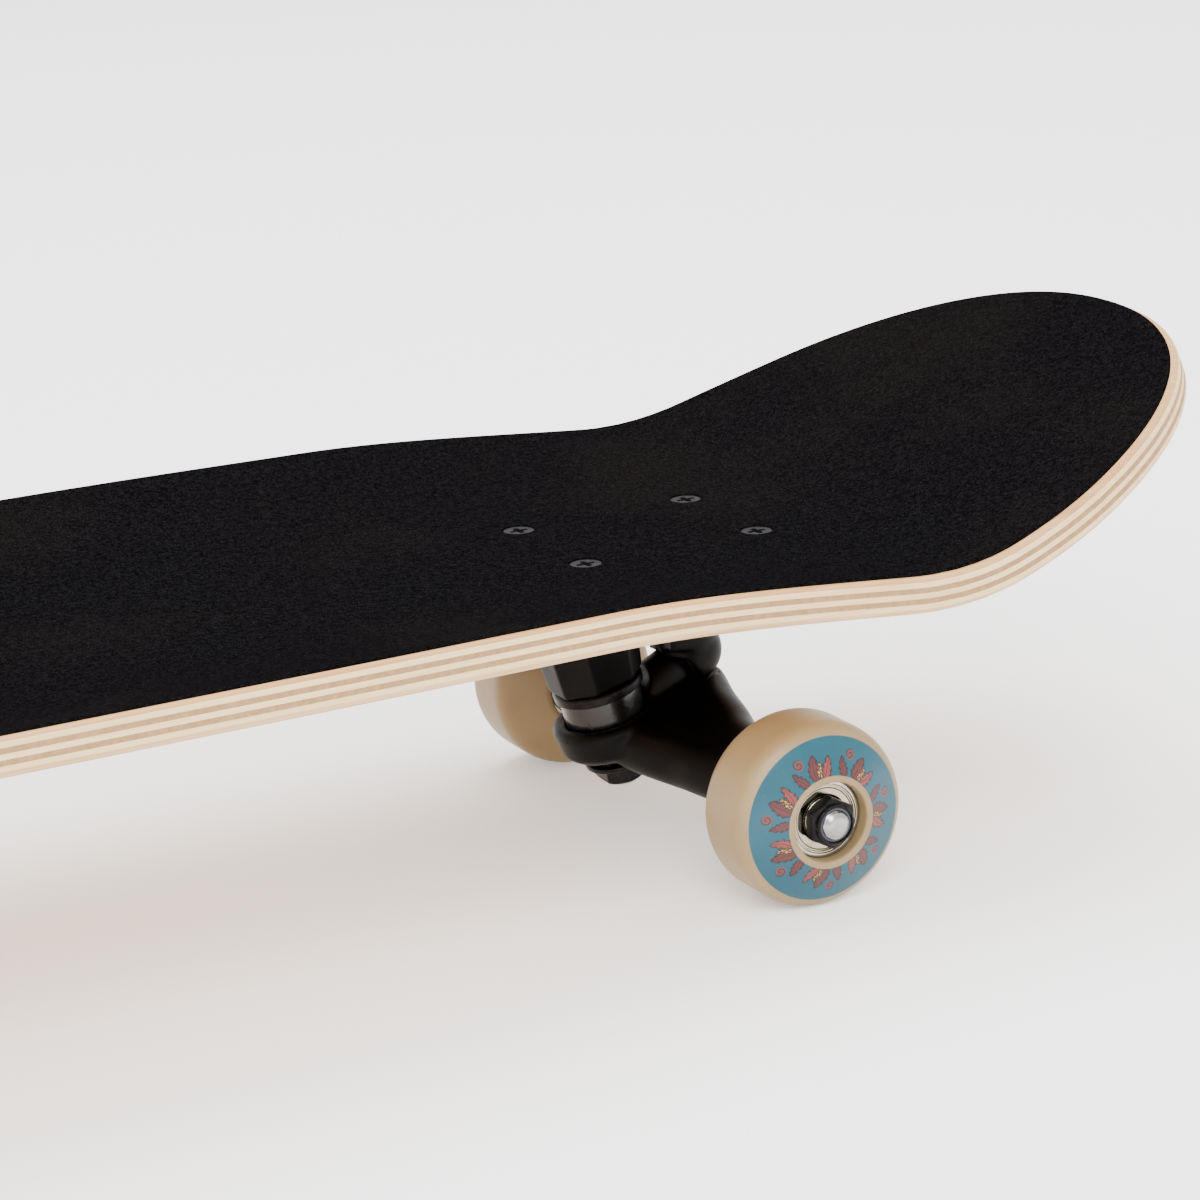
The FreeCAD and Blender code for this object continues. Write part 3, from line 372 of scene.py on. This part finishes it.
def urethane_finish(printed):
    """Cream urethane; the outer side face carries a teal print with leaves and curls.

    The piece's own attribute holds wheel coordinates in millimetres: two across the wheel's
    face and one along its axle, outwards.
    """
    f = Finish("wheel urethane", (0.62, 0.47, 0.28), Subsurface_Weight=0.22, Subsurface_Scale=0.004,
               Specular_IOR_Level=0.45)
    cloud = f.noise(38, 3)
    cream = f.mix(cloud.step(0.3, 0.75), (0.235, 0.158, 0.068), (0.275, 0.195, 0.095))
    scuff = f.noise(620, 3).step(0.55, 0.8)
    cream = f.mix(scuff * 0.15, cream, (0.17, 0.11, 0.05))
    rough = 0.36 + cloud * 0.12
    if printed:
        u, v, h = f.split(f.node("ShaderNodeAttribute", {"attribute_name": "wheel"}, out="Vector"))
        radius = (u * u + v * v).root()
        art = f.mix(f.noise(60, 3).step(0.3, 0.8), INKS["teal"], (0.0010, 0.072, 0.104))
        line = None
        turned = v.math("ARCTAN2", u) * (SPRAYS / TAU) + f.noise(70, 2) * 0.16
        spray = (turned.fraction() - 0.5) * (TAU / SPRAYS)
        ahead, aside = radius * spray.cosine(), radius * spray.sine()
        for out, side, heading, length, half, curl, ink in LEAVES:
            a, b = ahead - out, aside - side
            along = a * math.cos(heading) + b * math.sin(heading)
            across = b * math.cos(heading) - a * math.sin(heading) - curl * along * along + curl * length
            share = (along / length).least(1.0).most(0.0)
            width = (share * (1 - share)).root() * (2 * half) * (1.3 - share * 0.7)
            lobes = (share * 27.0 + across.size() * 2.2).sine() * 0.24 * (share * (1 - share) * 4)
            past = (along - length).most(-along).most(0.0)
            edge = across.size() - width + lobes + past * 2
            art = f.mix(edge.step(0.12, -0.12), art, INKS[ink])
            art = f.mix((edge + 0.42).step(0.3, -0.3) * 0.35, art, tuple(1.5 * c + 0.02 for c in INKS[ink]))
            rim = edge.size().step(0.26, 0.10)
            vein = across.size().step(0.13, 0.05) * edge.step(0.0, -0.3)
            line = (rim if line is None else line.most(rim)).most(vein)
        for out, side, reach in CURLS:
            a, b = ahead - out, aside - side
            far = (a * a + b * b).root()
            turn = b.math("ARCTAN2", a) / TAU
            coil = ((far / 0.95 - turn).fraction() - 0.5).size()
            inside = far.step(reach, reach - 0.15)
            art = f.mix(coil.step(0.16, 0.26) * inside, art, INKS["rose"])
            line = line.most(coil.step(0.20, 0.10) * inside)
        art = f.mix(line, art, INKS["line"])
        area = radius.step(12.95, 13.15) * radius.step(23.15, 22.95) * h.step(8.0, 9.0)
        rubbed = 1 - f.noise(900, 4).step(0.68, 0.80) * 0.5
        cream = f.mix(area * rubbed, cream, art)
        rough = rough - area * 0.10
    return f.feed(Base_Color=cream, Roughness=rough, Normal=f.bump(f.noise(1500, 2), 0.00003, 0.35))


FINISH = {
    "grit": grit_finish(),
    "top veneer": veneer_finish("top veneer", (0.58, 0.33, 0.14), (0.46, 0.23, 0.085), 0, 1.0),
    "core veneer": veneer_finish("core veneer", (0.80, 0.59, 0.31), (0.70, 0.47, 0.22), 0, 3.0),
    "cross veneer": veneer_finish("cross veneer", (0.37, 0.215, 0.098), (0.29, 0.160, 0.068), 1, 5.0),
    "bottom veneer": veneer_finish("bottom veneer", (0.66, 0.43, 0.23), (0.54, 0.32, 0.15), 0, 7.0),
    "casting": casting_finish(),
    "bolt": blackened_finish("black bolt", (0.0035, 0.0032, 0.0032), 0.55, 0.01),
    "rubbed washer": blackened_finish("rubbed washer", (0.009, 0.008, 0.008), 0.30, 0.03),
    "nut": blackened_finish("black nut", (0.011, 0.010, 0.011), 0.30, 0.03),
    "bright": steel_finish("bright steel", (0.34, 0.33, 0.32), 0.24),
    "race": steel_finish("bearing steel", (0.42, 0.40, 0.35), 0.12, 2400),
    "shield": steel_finish("bearing shield", (0.40, 0.36, 0.26), 0.14, 2000),
    "bushing": moulded_finish("black urethane", (0.0012, 0.0011, 0.0014), 0.24, 0.1),
    "cup": moulded_finish("pivot cup urethane", (0.004, 0.004, 0.004), 0.4),
    "nylon": moulded_finish("nylon insert", (0.010, 0.012, 0.024), 0.3),
    "wheel": urethane_finish(True),
}


# ---------------------------------------------------------------- deck
def deck_at(along, across, depth):
    """The pressed deck: flat, an arc of KICK_RADIUS and a straight kick along the board, and a
    power-law concave across it that fades towards the tips; depth is square to that line."""
    run = np.abs(along) - TRUCK_X
    turn = np.clip((run - KICK_START) / KICK_RADIUS, 0, KICK_TURN)
    straight = np.maximum(run - KICK_START - KICK_RADIUS * KICK_TURN, 0)
    x = np.minimum(run, KICK_START) + KICK_RADIUS * np.sin(turn) + straight * np.cos(turn)
    z = KICK_RADIUS * (1 - np.cos(turn)) + straight * np.sin(turn)
    rise = 13.0 * (1 - smooth((run + 59) / 159))
    lift = rise * (np.maximum(np.abs(across) - 27, 0) / (DECK_WIDTH / 2 - 27)) ** 1.7 - depth
    x = (x + TRUCK_X - np.sin(turn) * lift) * np.sign(along)
    return np.stack(np.broadcast_arrays(x, across, DECK_TOP + z + np.cos(turn) * lift), -1)


def deck_outline():
    """Stations from tip to tip: distance along the board, half width, and outward normal.

    Between the trucks the half width narrows smoothly; past them it is a superellipse."""
    straight = np.linspace(-TRUCK_X, ROUND_START, 60)[:-1]
    width = DECK_WIDTH / 2 - WAIST_TAPER * smooth((straight + 160) / 180)
    angle = math.pi / 2 * (1 - np.linspace(1, 0, 64) ** 1.6)
    waist = DECK_WIDTH / 2 - WAIST_TAPER
    nose = ROUND_START + (TIP_REACH - ROUND_START) * np.sin(angle) ** (2 / 2.26)
    along = np.concatenate([straight, nose]) + TRUCK_X
    half = np.concatenate([width, waist * np.maximum(np.cos(angle), 0) ** (2 / 2.17)])
    along, half = np.concatenate([-along[:0:-1], along]), np.concatenate([half[:0:-1], half])
    step, drop = np.gradient(along), np.gradient(half)
    long = np.hypot(step, drop)
    return along, half, -drop / long, step / long


def layer(name, top, bottom, inset, columns):
    """One pressed layer: its outline drawn in by inset(depth), closed at both tips.

    Each row is a loop across the top, down one edge, back underneath and up the other edge."""
    along, half, lengthwise, sideways = (value[:, None] for value in deck_outline())
    across, edge = np.linspace(-1, 1, columns), np.linspace(0, 1, 9)
    shelf = np.ones(columns)
    share = np.concatenate([across, np.ones(9), -across, -np.ones(9)])
    fall = np.concatenate([0 * shelf, edge, shelf, edge[::-1]])
    depth, drawn = top + (bottom - top) * fall, inset(fall)
    aside = share * np.maximum(half - sideways * drawn, 0)
    grid = deck_at(along - lengthwise * drawn, aside, depth + 0 * along)
    return solid(name, [grid], 50)


def rounded_edge(depth):
    """How far the deck's rounded edge is drawn in at a depth."""
    near = np.minimum(depth, 7 * PLY - depth)
    short = np.clip(EDGE_ROUND - near, 0, EDGE_ROUND)
    return EDGE_ROUND - np.sqrt(EDGE_ROUND ** 2 - short ** 2)


def bolt_places():
    return [(sign * TRUCK_X + x, y)
            for sign in ENDS.values() for x in (-BOLT_X, BOLT_X) for y in (-BOLT_Y, BOLT_Y)]


def bolt_cutter():
    """Countersunk holes for the eight truck bolts."""
    head = BOLT_TOP - DECK_TOP
    profile = [(0, 8), (4.75, 8), (4.75, head - 0.3), (2.6, head - 2.9), (2.6, -16), (0, -16)]
    holes = [lathe(profile, (x, y, DECK_TOP), (0, 0, 1), 40) for x, y in bolt_places()]
    cutter = solid("bolt_hole_cutter", holes)
    cutter.hide_render = True
    return cutter


def drilled(thing, cutter):
    cut = thing.modifiers.new("holes", "BOOLEAN")
    cut.operation, cut.solver, cut.object = "DIFFERENCE", "EXACT", cutter
    applied(thing)
    thing.data.shade_smooth()
    thing.data.set_sharp_from_angle(angle=math.radians(50))
    return thing


def make_deck():
    cutter = bolt_cutter()
    start = EDGE_ROUND - 0.55
    grip = layer("grip", -GRIP, 0.0, lambda fall: start + 0.25 * (1 - fall), 40)
    finished(drilled(grip, cutter), FINISH["grit"], "grip_tape", "deck", "grip_tape")
    looks = ["top veneer", "core veneer", "cross veneer", "core veneer", "cross veneer", "core veneer",
             "bottom veneer"]
    for number, look in enumerate(looks):
        top = number * PLY

        def inset(fall):
            return rounded_edge(top + PLY * fall) + 0.07 * np.abs(2 * fall - 1) ** 6

        ply = layer("veneer_%d" % (number + 1), top, top + PLY, inset, 24)
        slot = "cross_ply" if number in (2, 4) else "long_ply"
        finished(drilled(ply, cutter), FINISH[look], slot, "deck", "deck_ply_%d" % (number + 1))
    bpy.data.objects.remove(cutter)


# ---------------------------------------------------------------- fasteners
def threaded(low, high, radius, pitch, depth, ring=THREAD_RING):
    """Rows of a screw thread: the radius falls and rises once a pitch, and with the angle."""
    h = np.arange(low, high, pitch / 8)[:, None] + np.zeros((1, ring + 1))
    t = np.linspace(0, 1, ring + 1)[None, :]
    wave = np.abs(2 * ((h / pitch - t) % 1) - 1)
    end = np.minimum(np.abs(high - h), np.abs(h - low)) / pitch
    return radius - depth * np.clip(1.35 * wave - 0.2, 0, 1), h


def crosshead(ring=THREAD_RING):
    """A flat head with a cross recess: the depth falls off from two crossing bars."""
    rho = np.concatenate([np.linspace(0, 3.0, 26), np.linspace(3.2, 4.25, 5)])[:, None]
    t = np.linspace(0, TAU, ring + 1)[None, :]
    x, y = rho * np.cos(t), rho * np.sin(t)

    def bar(a, b):
        return smooth((1.02 - np.abs(b) - 0.12 * np.abs(a)) / 0.3) * smooth((2.75 - np.abs(a)) / 0.35)
    dip = 1.7 * np.maximum(bar(x, y), bar(y, x)) * (1 - 0.22 * rho)
    return rho + 0 * t, -dip


def make_deck_bolts(end):
    """Four flat-head crosshead bolts with threaded shanks, and their lock nuts."""
    sign = ENDS[end]
    head_r, head_h = crosshead()
    cone = np.array([(4.5, -0.12), (4.55, -0.35), (2.45, -2.75), (2.35, -3.4), (2.35, -11.2)])
    shank_r, shank_h = threaded(-23.2, -11.2, 2.38, pitch=0.8, depth=0.28)
    wide = np.ones((1, THREAD_RING + 1))
    radius = np.vstack([head_r, cone[:, :1] * wide, shank_r[::-1], 1.9 * wide, 0 * wide])
    height = np.vstack([head_h, cone[:, 1:] * wide, shank_h[::-1], -23.5 * wide, -23.5 * wide])
    bolts, nuts, inserts = [], [], []
    for x in (-BOLT_X, BOLT_X):
        for y in (-BOLT_Y, BOLT_Y):
            at = (sign * TRUCK_X + x, y, BOLT_TOP)
            bolts.append(round_axis(radius, height, at, (0, 0, 1)))
            under = (at[0], y, DECK_TOP - 7 * PLY - 5.0)
            nuts.append(lock_nut(under, (0, 0, -1), flats=9.5, hex_height=3.4, height=5.4, collar=4.2,
                                 bore=2.42, insert=3.4, insert_height=1.7))
            ring = softened([(2.42, 3.5), (3.35, 3.5), (3.35, 5.0), (2.42, 5.0)], 0.15)
            inserts.append(lathe(ring, under, (0, 0, -1), 32))
    finished(solid(end + "_deck_bolts_threaded", bolts), FINISH["bolt"], "black_steel", "deck",
             end + "_deck_bolts")
    finished(solid(end + "_deck_nuts_chamfered", nuts), FINISH["nut"], "black_steel", "deck",
             end + "_deck_nuts")
    finished(solid(end + "_deck_nut_inserts", inserts), FINISH["nylon"], "nylon_insert", "deck")


def lock_nut(centre, axis, flats, hex_height, height, collar, bore, insert, insert_height, crimp=0.0):
    """A chamfered hexagon with a round collar.

    The hexagon's radius at an angle is half its flats over the cosine of the angle to the
    nearest flat, and both its faces are cut back by a 30 degree cone. Six dents pinch the collar.
    """
    t = np.linspace(0, TAU, 145)[None, :]
    side = flats / 2 / np.cos((t + math.pi / 6) % (math.pi / 3) - math.pi / 6)
    start = flats / 2 * 0.97
    bevel = np.maximum(side - start, 0) * math.tan(math.radians(30))
    dent = crimp * np.exp(-((((t + math.pi / 6) % (math.pi / 3)) - math.pi / 6) / 0.11) ** 2)
    one = np.ones_like(t)
    rows = [(bore * one, 0 * one), (start * one, 0 * one), (side, bevel), (side, hex_height - bevel),
            (start * one, hex_height * one), ((collar + 0.12) * one, hex_height * one),
            (collar * one, (hex_height + 0.12) * one), (collar - dent, (height - 0.65) * one),
            (collar - 0.08 - 1.3 * dent, (height - 0.35) * one),
            (collar - 0.30 - 1.2 * dent, (height - 0.10) * one),
            (collar - 0.55 - dent, height - 0.4 * dent), (insert * one + 0.05, height - 0.3 * dent),
            (insert * one, (height - 0.15) * one), (insert * one, (height - insert_height) * one),
            (bore * one, (height - insert_height) * one), (bore * one, 0 * one)]
    return round_axis(np.vstack([r for r, h in rows]), np.vstack([h for r, h in rows]), centre, axis)


def make_kingpin(end):
    """Headed pin with a threaded foot, its washers, bushings and lock nut."""
    seat, axis = down(end)
    wide = np.ones((1, THREAD_RING + 1))
    thread_r, thread_h = threaded(23.5, 32.0, 4.7, pitch=1.25, depth=0.4)
    top = np.array([(0, -23.4), (4.4, -23.4), (KINGPIN_R, -23.0), (KINGPIN_R, 23.4)])
    foot = np.array([(4.05, 32.3), (3.8, 32.7), (3.3, FOOT), (0, FOOT)])
    radius = np.vstack([top[:, :1] * wide, thread_r, foot[:, :1] * wide])
    height = np.vstack([top[:, 1:] * wide, thread_h, foot[:, 1:] * wide])
    head = lock_nut(seat + axis * -23.16, -axis, flats=14.3, hex_height=4.9, height=5.4, collar=5.9,
                    bore=2.0, insert=2.0, insert_height=0.4)
    pin = solid(end + "_kingpin_threaded", [round_axis(radius, height, seat, axis), head])
    finished(pin, FINISH["bright"], "black_steel", "deck", end + "_kingpin")
    nut = lock_nut(seat + axis * 25.8, axis, flats=14.3, hex_height=4.1, height=5.6, collar=6.5,
                   bore=4.8, insert=5.6, insert_height=1.7, crimp=0.2)
    nut = solid(end + "_kingpin_lock_nut", [nut])
    finished(nut, FINISH["nut"], "black_steel", "deck", end + "_kingpin_nut")
    insert = solid(end + "_kingpin_nut_insert", [lathe(softened(
        [(4.8, 29.8), (5.55, 29.8), (5.55, 31.1), (4.8, 31.1)], 0.15), seat, axis)])
    finished(insert, FINISH["nylon"], "nylon_insert", "deck")
    cup = [(4.9, 0.05), (12.2, 0.05), (13.1, 0.8), (13.1, 3.2), (12.2, 3.2), (12.1, 1.6), (4.9, 1.5)]
    cup = softened(cup, (0.3, 1.0, 0.7, 0.4, 0.35, 0.5, 0.2))
    cup = solid(end + "_cup_washer_rolled", [lathe(cup, seat, axis, 144)])
    finished(cup, FINISH["rubbed washer"], "black_washer", "deck", end + "_cup_washer")
    flat = softened([(4.9, 24.3), (10.1, 24.3), (10.1, 25.8), (4.9, 25.8)], 0.5)
    flat = solid(end + "_lower_washer_rolled", [lathe(flat, seat, axis, 144)])
    finished(flat, FINISH["rubbed washer"], "black_washer", "deck", end + "_lower_washer")
    upper = [(4.9, 1.6), (11.7, 1.6), (12.0, 7.0), (11.9, 13.75), (7.6, 13.75), (7.6, 15.3), (4.9, 15.3)]
    lower = [(4.9, 16.5), (7.6, 16.5), (7.6, 18.05), (11.9, 18.05), (11.9, 20.8), (8.8, 24.25), (4.9, 24.25)]
    for name, profile, ends in (("upper", upper, (3.0, 13.6)), ("lower", lower, (24.0, 18.2))):
        rows = softened(profile, (0.4, 1.3, 2.4, 0.5, 0.4, 0.4, 0.3) if name == "upper" else 0.7, steps=8)
        piece = solid("%s_%s_bushing_barrel" % (end, name), [lathe(rows, seat, axis, 144)])
        piece.data.materials.append(FINISH["bushing"])
        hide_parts("%s_%s_bushing" % (end, name))
        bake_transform(piece)


# ---------------------------------------------------------------- castings
def make_casting(name, node, body, voxel, passes):
    """A cast copy of a machined solid: remeshed evenly, then relaxed so that its edges soften."""
    thing = settled(name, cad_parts[node].data.copy())
    grain = thing.modifiers.new("grain", "REMESH")
    grain.mode, grain.voxel_size = "VOXEL", voxel * MM
    relax = thing.modifiers.new("relax", "SMOOTH")
    relax.factor, relax.iterations = 0.5, passes
    applied(thing)
    thing.data.shade_smooth()
    return finished(thing, FINISH["casting"], "black_casting", body, node)


# ---------------------------------------------------------------- axle pieces and wheels
def make_axle(end):
    """A steel rod with threaded, chamfered ends, and what is stacked on it."""
    body = end + "_hanger_body"
    centre = np.array([ENDS[end] * (TRUCK_X + AXLE_X), 0, WHEEL_R])
    low_r, low_h = threaded(-89.9, -83.0, AXLE_R, pitch=1.06, depth=0.4)
    wide = np.ones((1, THREAD_RING + 1))
    tip = np.array([(0, -AXLE_TIP), (2.35, -AXLE_TIP), (2.6, -90.9), (3.55, -90.05)])
    rod = np.array([(AXLE_R, -82.8), (AXLE_R, 82.8)])
    radius = np.vstack([tip[:, :1] * wide, low_r, rod[:, :1] * wide, low_r[::-1], tip[::-1, :1] * wide])
    height = np.vstack([tip[:, 1:] * wide, low_h, rod[:, 1:] * wide, -low_h[::-1], -tip[::-1, 1:] * wide])
    axle = solid(end + "_axle_threaded", [round_axis(radius, height, centre, (0, 1, 0))])
    finished(axle, FINISH["bright"], "bright_steel", body, end + "_axle")
    nuts, inserts, washers, races = [], [], [], []
    for side in SIDES:
        at, out = hub(end, side)
        nuts.append(lock_nut(at + out * 12.8, out, flats=12.7, hex_height=3.9, height=5.4, collar=5.8,
                             bore=3.99, insert=4.88, insert_height=2.6, crimp=0.28))
        ring = softened([(4.0, 15.65), (4.86, 15.65), (4.86, 17.75), (4.0, 17.75)], 0.2)
        inserts.append(lathe(ring, at, out))
        for way in (1, -1):
            disc = [(4.0, 12.02), (5.7, 12.02), (5.7, 12.78), (4.0, 12.78)]
            washers.append(lathe(softened(disc, 0.2), at, out * way))
            race = [(4.0, 5.05), (6.05, 5.05), (6.05, 11.95), (4.0, 11.95)]
            races.append(lathe(softened(race, 0.35), at, out * way))
    finished(solid(end + "_axle_nuts_crimped", nuts), FINISH["nut"], "black_steel", body,
             end + "_axle_nuts")
    finished(solid(end + "_axle_nut_collars", inserts), FINISH["nylon"], "nylon_insert", body,
             end + "_axle_nut_inserts")
    finished(solid(end + "_speed_washers_rolled", washers), FINISH["nut"], "bright_steel", body,
             end + "_speed_washers")
    finished(solid(end + "_inner_races", races), FINISH["race"], "bearing_steel", body,
             end + "_bearing_inner_rings")


def make_wheel(end, side):
    """A cast urethane wheel with its bearings' outer rings, shields and snap rings."""
    centre, out = hub(end, side)
    name, body = "%s_%s" % (end, side), "%s_%s_wheel_body" % (end, side)
    half = [(8.6, 5.0), (11.02, 5.0), (11.02, 14.9), (11.35, 15.5), (12.8, 15.5), (26.0, 9.75)]
    soft = [0.2, 0.3, 0.6, 0.4, 0.9, 4.2]
    corners = half + [(r, -h) for r, h in reversed(half)]
    rows = softened(corners, soft + soft[::-1], steps=12)
    wheel = solid(name + "_wheel_cast", [lathe(rows, centre, out, 192)], 40)
    points = np.empty(len(wheel.data.vertices) * 3, np.float32)
    wheel.data.vertices.foreach_get("co", points)
    local = points.reshape(-1, 3) / MM - centre
    spot = np.stack([local[:, 0] * SIDES[side], local[:, 2], local @ out], -1)
    store = wheel.data.attributes.new("wheel", "FLOAT_VECTOR", "POINT")
    store.data.foreach_set("vector", spot.astype(np.float32).ravel())
    finished(wheel, FINISH["wheel"], "wheel_urethane", body, name + "_wheel")
    rings, shields = [], []
    for way in (1, -1):
        ring = [(9.2, 5.7), (9.2, 11.3), (9.75, 11.3), (9.75, SHIELD_FACE), (11.0, SHIELD_FACE),
                (11.0, 5.0), (9.75, 5.0), (9.75, 5.7)]
        ring = softened(ring, (0.1, 0.1, 0.1, 0.15, 0.4, 0.4, 0.15, 0.1))
        rings.append(lathe(ring, centre, out * way))
        plate = [(6.3, 11.25), (6.3, 11.5), (6.9, 11.62), (8.5, 11.62), (8.75, 11.4), (9.7, 11.4),
                 (9.7, 11.3), (8.6, 11.28)]
        shields.append(lathe(softened(plate, 0.12), centre, out * way))
        wire = [(9.2, 11.45), (9.72, 11.45), (9.72, 11.8), (9.2, 11.8)]
        shields.append(lathe(softened(wire, 0.15), centre, out * way))
    finished(solid(name + "_outer_races", rings), FINISH["race"], "bearing_steel", body,
             name + "_bearing_outer_rings")
    finished(solid(name + "_shields_pressed", shields), FINISH["shield"], "bearing_shield", body,
             name + "_bearing_shields")


# ---------------------------------------------------------------- the whole board
def repaint(node, finish):
    """A CAD node keeps its shape and gets a better finish."""
    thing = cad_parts[node]
    for place in thing.material_slots:
        place.material = finish


make_deck()
for end in ENDS:
    make_casting(end + "_baseplate_cast", end + "_baseplate", "deck", 0.6, 5)
    make_casting(end + "_hanger_cast", end + "_hanger", end + "_hanger_body", 0.65, 7)
    make_deck_bolts(end)
    make_kingpin(end)
    make_axle(end)
    for side in SIDES:
        make_wheel(end, side)
        repaint("%s_%s_bearing_balls" % (end, side), FINISH["race"])
    repaint(end + "_pivot_cup", FINISH["cup"])
    repaint(end + "_bearing_spacers", FINISH["bright"])


# ---------------------------------------------------------------- camera, floor and light
def make_camera():
    """A long lens aimed past the front truck, slightly rolled."""
    azimuth, elevation, roll = math.radians(-26.79), math.radians(16.8), math.radians(-2.89)
    back = Vector((math.sin(azimuth) * math.cos(elevation), -math.cos(azimuth) * math.cos(elevation),
                   math.sin(elevation)))
    level = Vector((math.cos(azimuth), math.sin(azimuth), 0))
    tall = back.cross(level)
    right = level * math.cos(roll) + tall * math.sin(roll)
    up = tall * math.cos(roll) - level * math.sin(roll)
    target = Vector((TRUCK_X, 0, DECK_TOP))
    lens = bpy.data.cameras.new("camera")
    lens.sensor_width, lens.lens = 36.0, LENS
    lens.clip_start, lens.clip_end = 0.05, 50
    camera = bpy.data.objects.new("camera", lens)
    place = (target + right * -10.46 + up * -19.01 + back * LENS_REACH) * MM
    camera.matrix_world = Matrix.Translation(place) @ Matrix((right, up, back)).transposed().to_4x4()
    bpy.context.scene.collection.objects.link(camera)
    bpy.context.scene.camera = camera


def make_floor():
    """A large plain floor just under the wheels, faintly lit from within."""
    reach = np.linspace(-FLOOR_REACH, FLOOR_REACH, 3)
    x, y = np.meshgrid(reach, reach, indexing="ij")
    mesh = bpy.data.meshes.new("floor")
    grid = np.stack([x, y, 0 * x - FLOOR_DROP], -1)
    mesh.from_pydata(grid.reshape(-1, 3) * MM, [], quads(3, 3))
    floor = bpy.data.objects.new("floor", mesh)
    bpy.context.scene.collection.objects.link(floor)
    f = Finish("pale floor", (0.94, 0.94, 0.94), Roughness=0.9, Specular_IOR_Level=0.1,
               Emission_Color=(1, 1, 1, 1), Emission_Strength=0.35)
    floor.data.materials.append(f.material)


def make_light(name, place, size, power, aim=(0.2, 0, 0.05)):
    lamp = bpy.data.lights.new(name, "AREA")
    lamp.shape, lamp.size, lamp.energy = "DISK", size, power
    thing = bpy.data.objects.new(name, lamp)
    thing.location = place
    thing.rotation_mode = "QUATERNION"
    thing.rotation_quaternion = (Vector(place) - Vector(aim)).to_track_quat("Z", "Y")
    bpy.context.scene.collection.objects.link(thing)


def make_world():
    world = bpy.data.worlds.new("studio")
    world.use_nodes = True
    world.node_tree.nodes["Background"].inputs["Color"].default_value = (1, 1, 1, 1)
    world.node_tree.nodes["Background"].inputs["Strength"].default_value = 2.1
    bpy.context.scene.world = world


make_camera()
make_floor()
make_world()
make_light("key", (-0.6, -1.6, 1.6), 1.4, 60)
make_light("top", (0.4, 0.6, 2.0), 1.8, 50)
